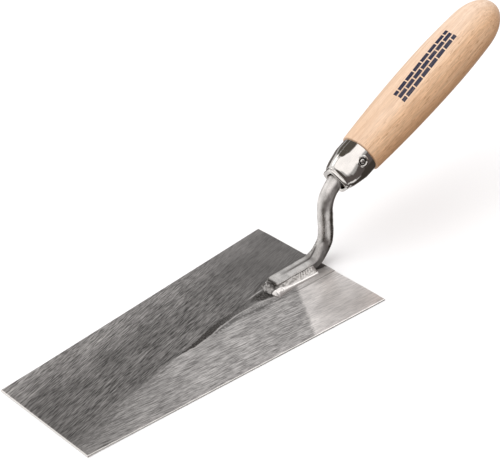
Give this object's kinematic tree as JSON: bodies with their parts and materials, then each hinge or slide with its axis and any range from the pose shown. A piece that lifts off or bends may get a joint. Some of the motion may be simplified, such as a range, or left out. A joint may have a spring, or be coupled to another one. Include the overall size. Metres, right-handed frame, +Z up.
{
  "type": "brick trowel",
  "caption": "Flat tapered steel blade with a cranked round neck welded on, a plated ferrule and a turned wooden handle.",
  "frame": {"origin": "middle of the tool's footprint, on the plane of the blade's underside", "axes": "+X along the tool toward the blade's toe, +Y across it toward the side the ferrule pin is on, +Z up from the blade's top face"},
  "size_m": [0.351, 0.1064, 0.1181],
  "materials": {
    "blade": "ground along its length, with fine scratches",
    "neck": "polished round rod",
    "weld": "bright lumpy weld",
    "ferrule": "bright nickel plate",
    "pin": "bright nickel plate",
    "handle": "pale beech, smooth, thinly lacquered"
  },
  "bodies": {
    "root": {"blade": "blade", "neck": "neck", "weld_bead_left": "weld", "weld_bead_right": "weld", "weld_bead_toe": "weld", "ferrule": "ferrule", "ferrule_pin": "pin", "handle": "handle"}
  },
  "joints": []
}
